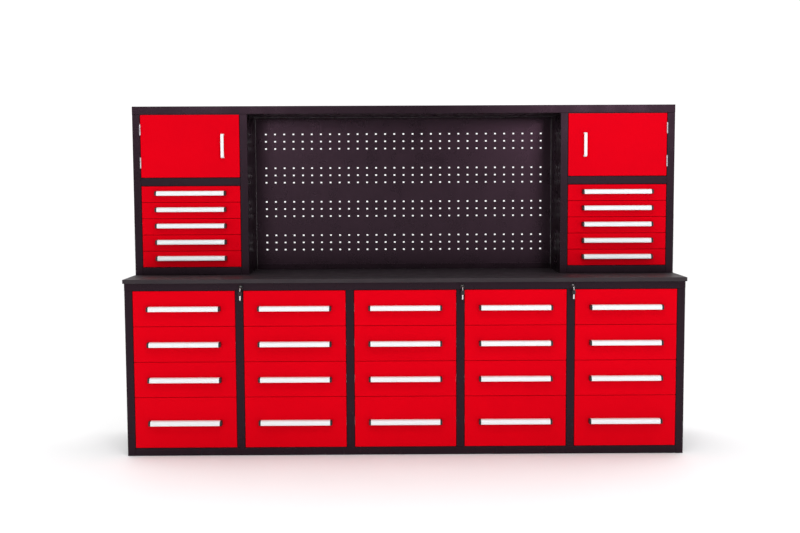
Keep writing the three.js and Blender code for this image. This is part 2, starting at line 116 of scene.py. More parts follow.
# ------------------------------------------------------------------ stage


def add_camera():
    data = bpy.data.cameras.new("camera")
    data.sensor_width = 36
    data.lens = CAMERA["lens"]
    data.shift_y = CAMERA_SHIFT
    camera = bpy.data.objects.new("camera", data)
    turn = Matrix.Rotation(-CAMERA["yaw"], 4, "Z") @ Matrix.Rotation(math.pi / 2 - CAMERA["pitch"], 4, "X")
    roll = Matrix.Rotation(-CAMERA["roll"], 4, "Z")
    camera.matrix_world = Matrix.Translation(CAMERA["place"]) @ turn @ roll
    bpy.context.scene.collection.objects.link(camera)
    bpy.context.scene.camera = camera


def area_light(name, place, target, size, power, colour=(1, 1, 1)):
    data = bpy.data.lights.new(name, "AREA")
    data.shape = "RECTANGLE"
    data.size, data.size_y = size
    data.energy = power
    data.color = colour
    light = bpy.data.objects.new(name, data)
    light.location = place
    aim = Vector(target) - Vector(place)
    light.rotation_euler = aim.to_track_quat("-Z", "Y").to_euler()
    bpy.context.scene.collection.objects.link(light)


def add_lights():
    """A soft box overhead, two behind the camera that the black steel reflects, and two weak fills."""
    area_light("top_box", (0.2, -3.5, 4.4), (0, 0, 1.5), (3.0, 1.2), 42)
    area_light("left_box", (-2.0, -7.2, 2.9), (0, 0, 1.3), (2.2, 2.0), 58, (1.0, 0.93, 0.98))
    area_light("right_box", (2.4, -7.2, 2.9), (0, 0, 1.3), (1.8, 2.0), 86, (1.0, 0.86, 0.95))
    area_light("left_fill", (-4.6, -4.6, 2.4), (0, 0, 1.0), (3.0, 3.0), 8)
    area_light("side_fill", (5.2, -2.2, 2.2), (0.6, 0.2, 1.2), (1.6, 3.0), 16, (1.0, 0.85, 0.96))


def add_world():
    """White sky behind the bench and a dimmer one in front of it, by the sky's own direction."""
    world = bpy.data.worlds.new("studio")
    world.use_nodes = True
    nodes, links = world.node_tree.nodes, world.node_tree.links
    place = nodes.new("ShaderNodeTexCoord")
    parts = nodes.new("ShaderNodeSeparateXYZ")
    links.new(place.outputs["Generated"], parts.inputs[0])
    behind = ranged(world.node_tree, parts.outputs["Y"], 0.12, 1.1, -0.35, 0.35)
    above = ranged(world.node_tree, parts.outputs["Z"], 0, 0.85, 0.25, 1)
    strength = nodes.new("ShaderNodeMath")
    links.new(behind, strength.inputs[0])
    links.new(above, strength.inputs[1])
    links.new(strength.outputs[0], nodes["Background"].inputs["Strength"])
    nodes["Background"].inputs["Color"].default_value = (1, 1, 1, 1)
    bpy.context.scene.world = world
    bpy.context.scene.view_settings.view_transform = "Standard"


def add_floor():
    mesh = bpy.data.meshes.new("floor")
    half = FLOOR_HALF
    corners = [(-half, -half, 0), (half, -half, 0), (half, half, 0), (-half, half, 0)]
    mesh.from_pydata(corners, [], [(0, 1, 2, 3)])
    floor = bpy.data.objects.new("floor", mesh)
    bpy.context.scene.collection.objects.link(floor)
    mesh.materials.append(floor_paint())


# ------------------------------------------------------------------ materials


def start_material(name, colour, roughness, metallic=0.0, specular=0.5):
    """A new material with its shader, and object coordinates that differ a little from object to object."""
    material = bpy.data.materials.new(name)
    material.use_nodes = True
    tree = material.node_tree
    shader = tree.nodes["Principled BSDF"]
    shader.inputs["Base Color"].default_value = (*colour, 1)
    shader.inputs["Roughness"].default_value = roughness
    shader.inputs["Metallic"].default_value = metallic
    shader.inputs["Specular IOR Level"].default_value = specular
    place = tree.nodes.new("ShaderNodeTexCoord")
    which = tree.nodes.new("ShaderNodeObjectInfo")
    moved_place = tree.nodes.new("ShaderNodeVectorMath")
    moved_place.operation = "ADD"
    shift = tree.nodes.new("ShaderNodeCombineXYZ")
    tree.links.new(which.outputs["Random"], shift.inputs["X"])
    tree.links.new(which.outputs["Random"], shift.inputs["Z"])
    tree.links.new(place.outputs["Object"], moved_place.inputs[0])
    tree.links.new(shift.outputs[0], moved_place.inputs[1])
    return material, tree, shader, moved_place.outputs[0]


def noise(tree, place, scale, detail=2.0, stretch=(1, 1, 1)):
    mapping = tree.nodes.new("ShaderNodeMapping")
    mapping.inputs["Scale"].default_value = stretch
    texture = tree.nodes.new("ShaderNodeTexNoise")
    texture.inputs["Scale"].default_value = scale
    texture.inputs["Detail"].default_value = detail
    tree.links.new(place, mapping.inputs["Vector"])
    tree.links.new(mapping.outputs[0], texture.inputs["Vector"])
    return texture.outputs["Fac"]


def ranged(tree, value, low, high, from_low=0.3, from_high=0.7):
    """A value from from_low to from_high stretched to run from low to high."""
    node = tree.nodes.new("ShaderNodeMapRange")
    node.inputs["From Min"].default_value = from_low
    node.inputs["From Max"].default_value = from_high
    node.inputs["To Min"].default_value = low
    node.inputs["To Max"].default_value = high
    tree.links.new(value, node.inputs["Value"])
    return node.outputs[0]


def mixed(tree, factor, first, second):
    """Colour mix of two colours or sockets."""
    node = tree.nodes.new("ShaderNodeMix")
    node.data_type = "RGBA"
    tree.links.new(factor, node.inputs[0])
    for value, socket in ((first, node.inputs[6]), (second, node.inputs[7])):
        if isinstance(value, tuple):
            socket.default_value = (*value, 1)
        else:
            tree.links.new(value, socket)
    return node.outputs[2]


def bump(tree, shader, height, distance):
    node = tree.nodes.new("ShaderNodeBump")
    node.inputs["Distance"].default_value = distance
    node.inputs["Strength"].default_value = 1.0
    tree.links.new(height, node.inputs["Height"])
    tree.links.new(node.outputs[0], shader.inputs["Normal"])


def shaded(colour, factor):
    return tuple(min(1.0, channel * factor) for channel in colour)


def edge_highlight_and_wear(tree, amount):
    """Up to amount near an edge, where a bevel would turn the surface: a painted edge highlight, together with
    thin paint there.
    """
    geometry = tree.nodes.new("ShaderNodeNewGeometry")
    bevel = tree.nodes.new("ShaderNodeBevel")
    bevel.samples = 4
    bevel.inputs["Radius"].default_value = EDGE_HIGHLIGHT_AND_WEAR_WIDTH
    turn = tree.nodes.new("ShaderNodeVectorMath")
    turn.operation = "DOT_PRODUCT"
    tree.links.new(geometry.outputs["Normal"], turn.inputs[0])
    tree.links.new(bevel.outputs[0], turn.inputs[1])
    return ranged(tree, turn.outputs["Value"], amount, 0, 0.8, 0.98)


def powder_coat(name, colour, edge, roughness, specular, peel=0.00006):
    """Baked powder coat: orange peel, slow drift of shade, and a paler film on the edges that is a painted edge
    highlight as well as thin paint.
    """
    material, tree, shader, place = start_material(name, colour, roughness, specular=specular)
    drift = ranged(tree, noise(tree, place, 2.2, 3), 0, 1)
    body = mixed(tree, drift, shaded(colour, 0.95), shaded(colour, 1.05))
    speck = ranged(tree, noise(tree, place, 1400, 1), 0, 0.1, 0.62, 0.75)
    body = mixed(tree, speck, body, edge)
    # Paler colour along every edge: a painted edge highlight, with thin paint there.
    body = mixed(tree, edge_highlight_and_wear(tree, 0.45), body, edge)
    tree.links.new(body, shader.inputs["Base Color"])
    gloss = ranged(tree, noise(tree, place, 9, 4), roughness - 0.04, roughness + 0.06)
    tree.links.new(gloss, shader.inputs["Roughness"])
    bump(tree, shader, noise(tree, place, 420, 2), peel)
    return material


def red_paint():
    # The second colour, a brighter red used for the edges and the specks, is a painted edge highlight as well as
    # the specks' colour.
    material = powder_coat("red_powder_coat", (0.725, 0.0002, 0.006), (0.86, 0.004, 0.014), 0.4, 0.3)
    shader = material.node_tree.nodes["Principled BSDF"]
    shader.inputs["Specular Tint"].default_value = (1.0, 0.02, 0.1, 1)
    return material


def black_paint(name="black_powder_coat", specular=0.25):
    # The second colour, a pale pink used for the edges and the specks, is a painted edge highlight as well as the
    # specks' colour.
    material = powder_coat(name, (0.0058, 0.0042, 0.005), (0.06, 0.038, 0.05), 0.28, specular)
    shader = material.node_tree.nodes["Principled BSDF"]
    shader.inputs["Specular Tint"].default_value = (1.0, 0.6, 0.84, 1)
    return material


def worktop_paint():
    """The worktop's coat is rougher, with a grained texture that hides scratches, and faint scuffs."""
    colour = (0.019, 0.0125, 0.0165)
    material, tree, shader, place = start_material("worktop_coat", colour, 0.6, specular=0.4)
    drift = ranged(tree, noise(tree, place, 3, 4), 0, 1)
    body = mixed(tree, drift, shaded(colour, 0.9), shaded(colour, 1.1))
    scuffs = ranged(tree, noise(tree, place, 60, 3, (0.12, 1, 1)), 0, 0.16, 0.66, 0.8)
    body = mixed(tree, scuffs, body, (0.06, 0.05, 0.055))
    # Paler pink along the edges: a painted edge highlight, with rubbed paint.
    body = mixed(tree, edge_highlight_and_wear(tree, 0.35), body, (0.075, 0.055, 0.065))
    tree.links.new(body, shader.inputs["Base Color"])
    tree.links.new(ranged(tree, noise(tree, place, 14, 4), 0.54, 0.68), shader.inputs["Roughness"])
    bump(tree, shader, noise(tree, place, 700, 3), 0.00012)
    return material


def zinc_plate():
    """Zinc plated steel strip: grain along its length and a faint spangle."""
    colour = (0.60, 0.61, 0.63)
    material, tree, shader, place = start_material("zinc_plate", colour, 0.36, metallic=0.92)
    grain = noise(tree, place, 900, 2, (1, 0.03, 1))
    spangle = ranged(tree, noise(tree, place, 90, 2), 0, 1)
    body = mixed(tree, spangle, shaded(colour, 0.88), shaded(colour, 1.08))
    tree.links.new(body, shader.inputs["Base Color"])
    tree.links.new(ranged(tree, grain, 0.28, 0.46), shader.inputs["Roughness"])
    bump(tree, shader, grain, 0.00002)
    return material


def handle_metal():
    """Pale satin anodised extrusion: fine draw lines along X."""
    colour = (0.86, 0.93, 0.93)
    material, tree, shader, place = start_material("handle_aluminium", colour, 0.4, metallic=0.05, specular=0.4)
    lines = noise(tree, place, 1100, 2, (0.015, 1, 1))
    body = mixed(tree, ranged(tree, lines, 0, 1), shaded(colour, 0.965), shaded(colour, 1.02))
    # Paler along the edges: a painted edge highlight, with rubbed metal.
    body = mixed(tree, edge_highlight_and_wear(tree, 0.3), body, (0.88, 0.92, 0.92))
    tree.links.new(body, shader.inputs["Base Color"])
    tree.links.new(ranged(tree, noise(tree, place, 35, 3), 0.34, 0.46), shader.inputs["Roughness"])
    bump(tree, shader, lines, 0.000015)
    return material


def nickel_plate():
    colour = (0.74, 0.73, 0.72)
    material, tree, shader, place = start_material("nickel_plate", colour, 0.2, metallic=1.0)
    spots = ranged(tree, noise(tree, place, 400, 3), 0, 1)
    body = mixed(tree, spots, shaded(colour, 0.92), shaded(colour, 1.05))
    tree.links.new(body, shader.inputs["Base Color"])
    tree.links.new(ranged(tree, noise(tree, place, 220, 3), 0.14, 0.3), shader.inputs["Roughness"])
    bump(tree, shader, noise(tree, place, 1500, 1), 0.00001)
    return material


def moulded_plastic():
    colour = (0.009, 0.0085, 0.0095)
    material, tree, shader, place = start_material("black_plastic", colour, 0.42, specular=0.4)
    drift = ranged(tree, noise(tree, place, 120, 3), 0, 1)
    body = mixed(tree, drift, shaded(colour, 0.8), shaded(colour, 1.3))
    # Paler grey along the edges: a painted edge highlight, with rubbed plastic.
    body = mixed(tree, edge_highlight_and_wear(tree, 0.4), body, (0.07, 0.065, 0.07))
    tree.links.new(body, shader.inputs["Base Color"])
    tree.links.new(ranged(tree, noise(tree, place, 300, 3), 0.34, 0.52), shader.inputs["Roughness"])
    bump(tree, shader, noise(tree, place, 1600, 2), 0.00004)
    return material


def fibreboard():
    colour = (0.36, 0.24, 0.13)
    material, tree, shader, place = start_material("fibreboard", colour, 0.8, specular=0.2)
    fibres = noise(tree, place, 260, 5, (1, 0.35, 2.5))
    body = mixed(tree, ranged(tree, fibres, 0, 1), shaded(colour, 0.7), shaded(colour, 1.25))
    tree.links.new(body, shader.inputs["Base Color"])
    tree.links.new(ranged(tree, fibres, 0.7, 0.9), shader.inputs["Roughness"])
    bump(tree, shader, fibres, 0.0003)
    return material


def floor_paint():
    colour = (0.93, 0.93, 0.93)
    material, tree, shader, place = start_material("floor_paint", colour, 0.7, specular=0.2)
    drift = ranged(tree, noise(tree, place, 0.8, 3), 0, 1)
    body = mixed(tree, drift, shaded(colour, 0.99), shaded(colour, 1.01))
    tree.links.new(body, shader.inputs["Base Color"])
    return material


# ------------------------------------------------------------------ outlines


def arc(centre, radius, start, end, steps):
    """Points along an arc, angles in degrees."""
    angles = [math.radians(start + (end - start) * k / steps) for k in range(steps + 1)]
    return [Vector((centre[0] + radius * math.cos(a), centre[1] + radius * math.sin(a))) for a in angles]


def rounded(path, radii, closed=False, steps=4):
    """A path of straight runs with an arc of the given radius at each corner."""
    points = [Vector(p) for p in path]
    result = []
    for i, corner in enumerate(points):
        radius = radii[i]
        if radius <= 0 or (not closed and i in (0, len(points) - 1)):
            result.append(corner)
            continue
        before = (points[i - 1] - corner).normalized()
        after = (points[(i + 1) % len(points)] - corner).normalized()
        half = before.angle(after) / 2
        centre = corner + (before + after).normalized() * radius / math.sin(half)
        start = corner + before * radius / math.tan(half) - centre
        end = corner + after * radius / math.tan(half) - centre
        sweep = math.atan2(start.x * end.y - start.y * end.x, start.dot(end))
        for k in range(steps + 1):
            turned = Matrix.Rotation(sweep * k / steps, 2) @ start
            result.append(centre + turned)
    return result


def fold(path, thickness=SHEET, bends=BEND, steps=4):
    """Outline of a sheet bent along a path, its thickness on the path's left and its bends rounded.
    bends is the inner radius of all bends, or a list with one for each point of the path."""
    points = [Vector(p) for p in path]
    inner = bends if isinstance(bends, (list, tuple)) else [bends] * len(points)
    runs = [(b - a).normalized() for a, b in zip(points, points[1:])]
    lefts = [Vector((-run.y, run.x)) for run in runs]
    far, near_radii, far_radii = [], [], []
    for i, point in enumerate(points):
        before, after = max(i - 1, 0), min(i, len(runs) - 1)
        reach = thickness / (1 + lefts[before].dot(lefts[after]))
        far.append(point + (lefts[before] + lefts[after]) * reach)
        turns_left = runs[before].x * runs[after].y - runs[before].y * runs[after].x > 0
        near_radii.append(inner[i] + thickness * turns_left)
        far_radii.append(inner[i] + thickness * (not turns_left))
    near = rounded(points, near_radii, steps=steps)
    return near + rounded(far, far_radii, steps=steps)[::-1]


def round_box(u0, u1, v0, v1, radius, steps=3):
    """Closed outline of a rectangle with rounded corners, anticlockwise."""
    return rounded([(u0, v0), (u1, v0), (u1, v1), (u0, v1)], [radius] * 4, closed=True, steps=steps)


# ------------------------------------------------------------------ solids


def extruded(outline, axis, low, high):
    """Outline pushed along an axis. Its own coordinates are (y, z) for x, (x, z) for y, (x, y) for z."""
    bm = bmesh.new()
    place = {"x": lambda u, v, w: (w, u, v), "y": lambda u, v, w: (u, w, v), "z": lambda u, v, w: (u, v, w)}[axis]
    start = [bm.verts.new(place(u, v, low)) for u, v in outline]
    end = [bm.verts.new(place(u, v, high)) for u, v in outline]
    bm.faces.new(start)
    bm.faces.new(end[::-1])
    for i in range(len(outline)):
        bm.faces.new((start[i - 1], end[i - 1], end[i], start[i]))
    return bm


def lathed(profile, axis, sides=32):
    """Profile of (radius, along) points turned about an axis through the origin."""
    bm = bmesh.new()
    place = {"y": lambda a, b, w: (a, w, b), "z": lambda a, b, w: (a, b, w)}[axis]
    rings = []
    for radius, along in profile:
        if radius < 1e-7:
            rings.append([bm.verts.new(place(0, 0, along))])
            continue
        angles = [2 * math.pi * k / sides for k in range(sides)]
        circle = [(radius * math.cos(a), radius * math.sin(a)) for a in angles]
        rings.append([bm.verts.new(place(u, v, along)) for u, v in circle])
    for lower, upper in zip(rings, rings[1:]):
        for k in range(sides):
            loop = [lower[k % len(lower)], lower[(k + 1) % len(lower)]]
            loop += [upper[(k + 1) % len(upper)], upper[k % len(upper)]]
            bm.faces.new(list(dict.fromkeys(loop)))
    return bm


def tube(points, radius, sides=8, closed=True):
    """Round wire along points."""
    bm = bmesh.new()
    count = len(points)
    rings = []
    for i, point in enumerate(points):
        ahead = points[(i + 1) % count] if closed or i + 1 < count else point
        behind = points[i - 1] if closed or i else point
        along = (Vector(ahead) - Vector(behind)).normalized()
        first = along.cross(Vector((1, 0, 0))).normalized()
        second = along.cross(first)
        angles = [2 * math.pi * k / sides for k in range(sides)]
        outwards = [(first * math.cos(a) + second * math.sin(a)) * radius for a in angles]
        rings.append([bm.verts.new(Vector(point) + out) for out in outwards])
    pairs = zip(rings, rings[1:] + rings[:1]) if closed else zip(rings, rings[1:])
    for lower, upper in pairs:
        for k in range(sides):
            bm.faces.new((lower[k - 1], lower[k], upper[k], upper[k - 1]))
    if not closed:
        bm.faces.new(rings[0])
        bm.faces.new(rings[-1][::-1])
    return bm


def pan(low, high, open_side, radius, thickness, steps=3):
    """Sheet metal box whose face towards open_side is missing and whose other edges are rounded."""
    bm = bmesh.new()
    low, high = Vector(low), Vector(high)
    size = Matrix.Diagonal((high - low).to_4d())
    bmesh.ops.create_cube(bm, size=1, matrix=Matrix.Translation((low + high) / 2) @ size)
    bm.normal_update()
    gone = [face for face in bm.faces if face.normal.dot(Vector(open_side)) > 0.9]
    bmesh.ops.delete(bm, geom=gone, context="FACES")
    edges = [edge for edge in bm.edges if len(edge.link_faces) == 2]
    bmesh.ops.bevel(bm, geom=edges, offset=radius, segments=steps, profile=0.5, affect="EDGES")
    bmesh.ops.recalc_face_normals(bm, faces=bm.faces)
    outwards = max(bm.faces, key=lambda face: face.calc_area())
    if outwards.normal.dot(Vector(open_side)) > 0:
        bmesh.ops.reverse_faces(bm, faces=bm.faces)
    bmesh.ops.solidify(bm, geom=bm.faces, thickness=thickness)
    return bm


def merged(*parts):
    whole = bmesh.new()
    for part in parts:
        carrier = bpy.data.meshes.new("carrier")
        part.to_mesh(carrier)
        whole.from_mesh(carrier)
        bpy.data.meshes.remove(carrier)
        part.free()
    return whole


def moved(part, offset):
    bmesh.ops.translate(part, verts=part.verts, vec=Vector(offset))
    return part


def turned(part, degrees, axis):
    turn = Matrix.Rotation(math.radians(degrees), 3, axis)
    bmesh.ops.rotate(part, verts=part.verts, cent=(0, 0, 0), matrix=turn)
    return part


def block(low, high):
    """Plain bar between two corners, for flanges and plates that are joined into a piece."""
    outline = [(low[0], low[1]), (high[0], low[1]), (high[0], high[1]), (low[0], high[1])]
    return extruded(outline, "z", low[2], high[2])


def mesh_of(name, part):
    bmesh.ops.recalc_face_normals(part, faces=part.faces)
    mesh = bpy.data.meshes.new(name)
    part.to_mesh(mesh)
    part.free()
    mesh.shade_smooth()
    mesh.set_sharp_from_angle(angle=math.radians(40))
    return mesh


def piece(name, shape, finish, body="root", place=(0, 0, 0), replaces=(), edge=0.0):
    """A visible piece that rides on a body. shape is a bmesh, or a mesh that several pieces share."""
    mesh = shape if isinstance(shape, bpy.types.Mesh) else mesh_of(name, shape)
    material, slot = finish
    if not mesh.materials:
        mesh.materials.append(material)
    result = bpy.data.objects.new(name, mesh)
    result.location = place
    bpy.context.scene.collection.objects.link(result)
    if edge:
        bevel = result.modifiers.new("edges", "BEVEL")
        bevel.width = edge
        bevel.segments = 2
        bevel.limit_method = "ANGLE"
        bevel.angle_limit = math.radians(40)
    normals = result.modifiers.new("normals", "WEIGHTED_NORMAL")
    normals.keep_sharp = True
    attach(result, body)
    if replaces:
        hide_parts(*replaces)
    return result


add_camera()
add_lights()
add_world()
add_floor()

RED = (red_paint(), "red_powder_coat")
BLACK = (black_paint(), "black_powder_coat")
BOARD_BLACK = (black_paint("board_coat", 0.4), "black_powder_coat")
WORKTOP = (worktop_paint(), "black_powder_coat")
ZINC = (zinc_plate(), "zinc_plated_steel")
ALUMINIUM = (handle_metal(), "handle_aluminium")
NICKEL = (nickel_plate(), "chrome")
PLASTIC = (moulded_plastic(), "black_plastic")
BOARD = (fibreboard(), "worktop_board")

# ------------------------------------------------------------------ drawers


def screw_head(radius, height):
    """Domed screw head with a flat driver recess, its seat at 0 and its dome towards minus."""
    recess = radius * 0.35
    profile = [(0, -height * 0.35), (recess, -height * 0.45), (recess * 1.1, -height)]
    profile += [(radius * 0.75, -height * 0.8), (radius, -height * 0.3), (radius, 0), (0, 0)]
    return lathed(profile, "y", 16)


def handle_outline():
    """Section of a bar handle about its middle: flange, shoulder, stepped grip and a small lip."""
    half, reach = HANDLE["height"] / 2, HANDLE["reach"]
    wall = HANDLE["wall"]
    back = HANDLE_STEP - reach
    step = half - HANDLE_SHOULDER - 1 * MM
    path = [(0, 3 * MM - half), (0, half), (back, half), (back, step), (-reach, step - HANDLE_STEP)]
    path += [(-reach, -half), (5 * MM - reach, -half)]
    bends = [0, 1 * MM, HANDLE_SHOULDER - wall, 0.2 * MM, 0.2 * MM, 1.2 * MM, 0]
    return fold(path, wall, bends, steps=6)


def cap_outline():
    half, reach = HANDLE["height"] / 2, HANDLE["reach"]
    corners = [(0, half), (-reach, half), (-reach, -half), (0, -half)]
    return rounded(corners, [1 * MM, HANDLE_SHOULDER, 3 * MM, 1 * MM], closed=True, steps=6)


def handle_meshes():
    half = HANDLE["length"] / 2
    bar = mesh_of("bar_handle", extruded(handle_outline(), "x", -half, half))
    ends = [extruded(cap_outline(), "x", side * half, side * (half + HANDLE["cap"])) for side in (-1, 1)]
    caps = mesh_of("bar_handle_caps", merged(*ends))
    heads = []
    for side in (-1, 1):
        head = turned(screw_head(4 * MM, 2.4 * MM), 180, "Z")
        heads.append(moved(head, (side * HANDLE_SCREWS / 2, FRONT_SHEET, 0)))
    return bar, caps, mesh_of("handle_screws", merged(*heads))


def front_mesh(width, height):
    return mesh_of("drawer_front", pan((-width / 2, 0, 0), (width / 2, FRONT_DEPTH, height),
                                       (0, 1, 0), FRONT_EDGE, FRONT_SHEET))


def tray_mesh(width, height, kind):
    """Tray folded from one sheet with hemmed sides, and a front and a rear wall let in between them."""
    half, depth = width / 2, kind["depth"]
    low, top = FLOOR_OF_TRAY, FLOOR_OF_TRAY + height - TRAY_HEADROOM
    hem = TRAY_HEM
    turn_in = half - 2.5 * MM
    path = [(turn_in, top - hem), (turn_in, top), (half, top), (half, low)]
    path = path + [(-u, v) for u, v in path[::-1]]
    body = extruded(fold(path[::-1], TRAY_SHEET, 0.6 * MM, steps=3), "y", FRONT_DEPTH - TRAY_SHEET, depth)
    walls = []
    for at, lean in ((FRONT_DEPTH - TRAY_SHEET, 1), (depth, -1)):
        wall_path = [(at + lean * 8 * MM, low + TRAY_SHEET), (at, low + TRAY_SHEET), (at, top - 1 * MM)]
        wall_path.append((at + lean * 4 * MM, top - 1 * MM))
        if lean > 0:
            wall_path = wall_path[::-1]
        inset = half - TRAY_SHEET - 0.2 * MM
        walls.append(extruded(fold(wall_path, TRAY_SHEET, 0.6 * MM, steps=3), "x", -inset, inset))
    return mesh_of("drawer_tray", merged(body, *walls))


def channel(web, lips, level, reach, start, length):
    """Slide half: a channel along Y with its web at x = web and its rounded lips reaching to x = lips."""
    path = [(lips, level - reach), (web, level - reach), (web, level + reach), (lips, level + reach)]
    if lips > web:
        path = path[::-1]
    return extruded(fold(path, SHEET, 1.5 * MM, steps=3), "y", start, start + length)


def slide_level(height):
    return FLOOR_OF_TRAY + (height - TRAY_HEADROOM) / 2


def runner_mesh(width, height, kind):
    """Moving slide halves on both sides of a tray."""
    level = slide_level(height)
    reach = kind["slide_height"] / 2 - SHEET - 0.7 * MM
    parts = []
    for side in (-1, 1):
        web = side * (width / 2 + 0.2 * MM)
        lips = side * (width / 2 + SLIDE_SPACE - SHEET - 1 * MM)
        parts.append(channel(web, lips, level, reach, SLIDE_START, kind["slide_length"]))
    return mesh_of("drawer_runners", merged(*parts))


SHARED = {}


def shared(key, make):
    """A mesh or meshes made once and used by every drawer of the same height."""
    if key not in SHARED:
        SHARED[key] = make()
    return SHARED[key]


def build_drawer(node, kind):
    low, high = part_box(node)
    height = round(high.z - low.z, 5)
    tray_width = FRONT_WIDTH + 2 * GAP - 2 * SLIDE_SPACE
    face = low.y + HANDLE["reach"]
    centre = (low.x + high.x) / 2
    place = (centre, face, low.z)
    bar, caps, screws = shared("handle", handle_meshes)
    front = shared(("front", height), lambda: front_mesh(FRONT_WIDTH, height))
    tray = shared(("tray", height), lambda: tray_mesh(tray_width, height, kind))
    runners = shared(("runners", height), lambda: runner_mesh(tray_width, height, kind))
    grip = (centre, face, low.z + height / 2 + kind["handle_rise"])
    piece(f"{node}_front", front, RED, node, place, replaces=[node])
    piece(f"{node}_tray", tray, BLACK, node, place)
    piece(f"{node}_runners", runners, ZINC, node, place)
    piece(f"{node}_handle", bar, ALUMINIUM, node, grip)
    piece(f"{node}_handle_caps", caps, PLASTIC, node, grip, edge=1.0 * MM)
    piece(f"{node}_handle_screws", screws, ZINC, node, grip)


BODY_LOW, BODY_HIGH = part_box("base_top_panel")
BASE_FACE = BODY_LOW.y
HUTCH_LOW, HUTCH_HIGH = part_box("hutch_beam")
HUTCH_FACE = HUTCH_LOW.y
FRONT_LOW, FRONT_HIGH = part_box("left_drawer_1")
FRONT_WIDTH = FRONT_HIGH.x - FRONT_LOW.x


def build_drawers():
    for column in range(1, 6):
        for level in range(1, 5):
            build_drawer(f"base_drawer_{column}_{level}", BASE_TRAY)
    for side in ("left", "right"):
        for level in range(1, 6):
            build_drawer(f"{side}_drawer_{level}", HUTCH_TRAY)


# ------------------------------------------------------------------ base cabinet


def upright(x0, x1, face, back, low, high):
    """Hollow upright folded from one sheet: stile in front and a skin down each side."""
    path = [(x0, back), (x0, face), (x1, face), (x1, back)]
    return extruded(fold(path), "z", low, high)


def tray_levels(nodes):
    """Height of the slides of each of these drawers above the floor."""
    boxes = [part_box(node) for node in nodes]
    return [low.z + slide_level(high.z - low.z) for low, high in boxes]


def fixed_slides(walls, levels, face, kind):
    """Fixed slide halves on walls given as (x of the wall's face, side where the tray is)."""
    parts = []
    for x, side in walls:
        for level in levels:
            lips = x + side * RAIL_LIP
            start = face + SLIDE_START
            web = x + side * 0.1 * MM
            reach = kind["slide_height"] / 2
            parts.append(channel(web, lips, level, reach, start, kind["slide_length"]))
    return merged(*parts)


def build_uprights():
    levels = tray_levels([f"base_drawer_1_{level}" for level in range(1, 5)])
    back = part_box("base_back_panel")[0].y - FIT
    spans = {"base_left_side": (BODY_LOW.x, [1]), "base_right_side": (BODY_HIGH.x - STILE, [-1])}
    for index in range(1, 5):
        low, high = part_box(f"base_partition_{index}")
        spans[f"base_partition_{index}"] = ((low.x + high.x - STILE) / 2, [-1, 1])
    for node, (x0, sides) in spans.items():
        low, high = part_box(node)
        shape = upright(x0, x0 + STILE, BASE_FACE, back, low.z, high.z)
        piece(f"{node}_upright", shape, BLACK, replaces=[node])
        if node.endswith("side"):
            foot_low = (x0 + SHEET, BASE_FACE + SHEET, low.z)
            foot = block(foot_low, (x0 + STILE - SHEET, back, low.z + SHEET))
            piece(f"{node}_foot", foot, BLACK)
        walls = [(x0 if side < 0 else x0 + STILE, side) for side in sides]
        piece(f"{node}_slides", fixed_slides(walls, levels, BASE_FACE, BASE_TRAY), ZINC)


def tray_panel(x0, x1, face, back, low, high):
    """Panel with a rail folded down in front and behind, each with a return flange along its foot."""
    path = [(back - RETURN, low), (back, low), (back, high), (face, high), (face, low), (face + RETURN, low)]
    return extruded(fold(path), "x", x0, x1)


def rivets(points):
    """Domed rivet heads at points, standing out towards +Y."""
    radius = RIVETS["radius"]
    profile = [(0, RIVETS["height"]), (radius * 0.6, 1.1 * MM), (radius, 0.2 * MM), (radius, 0), (0, 0)]
    return merged(*[moved(lathed(profile, "y", 14), point) for point in points])


def spread(low, high, count):
    """Middles of count equal parts of a length."""
    return [low + (high - low) * (k + 0.5) / count for k in range(count)]


def build_base():
    build_uprights()
    low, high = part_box("base_floor")
    floor = tray_panel(low.x, high.x, low.y, high.y, low.z, high.z)
    piece("base_floor_panel", floor, BLACK, replaces=["base_floor"])
    low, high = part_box("base_back_panel")
    path = round_box(low.x, high.x, low.z, high.z, PANEL_CORNER)
    piece("base_back_sheet", extruded(path, "y", low.y, high.y), BLACK, replaces=["base_back_panel"])
    pitch = (BODY_HIGH.x - BODY_LOW.x - STILE) / 5
    lines = [BODY_LOW.x + STILE / 2 + index * pitch for index in range(6)]
    points = [(x, high.y, z) for x in lines for z in spread(low.z, high.z, 6)]
    piece("base_back_rivets", rivets(points), ZINC)
    build_top_panel()


def end_plates(low, high):
    """Plates that close both ends of a folded panel, inside its bends."""
    ends = [block((x, low.y + 3 * MM, low.z), (x + SHEET, high.y - 3 * MM, high.z - 2 * MM))
            for x in (low.x, high.x - SHEET)]
    return merged(*ends)


def build_top_panel():
    """Rail under the worktop, holed for the three locks, with closed ends."""
    low, high = BODY_LOW, BODY_HIGH
    panel = tray_panel(low.x, high.x, low.y, high.y, low.z, high.z)
    result = piece("base_top_rail", panel, BLACK, replaces=["base_top_panel"])
    holes = []
    for index in LOCKS:
        hole_low, hole_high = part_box(f"lock_cylinder_{index}")
        centre = (hole_low + hole_high) / 2
        radius = LOCK["body_radius"] + FIT
        cutter = lathed([(0, -2 * MM), (radius, -2 * MM), (radius, 4 * MM), (0, 4 * MM)], "y", 32)
        holes.append(moved(cutter, (centre.x, BASE_FACE, centre.z)))
    cut_away(result, merged(*holes))
    piece("base_top_ends", end_plates(low, high), BLACK)


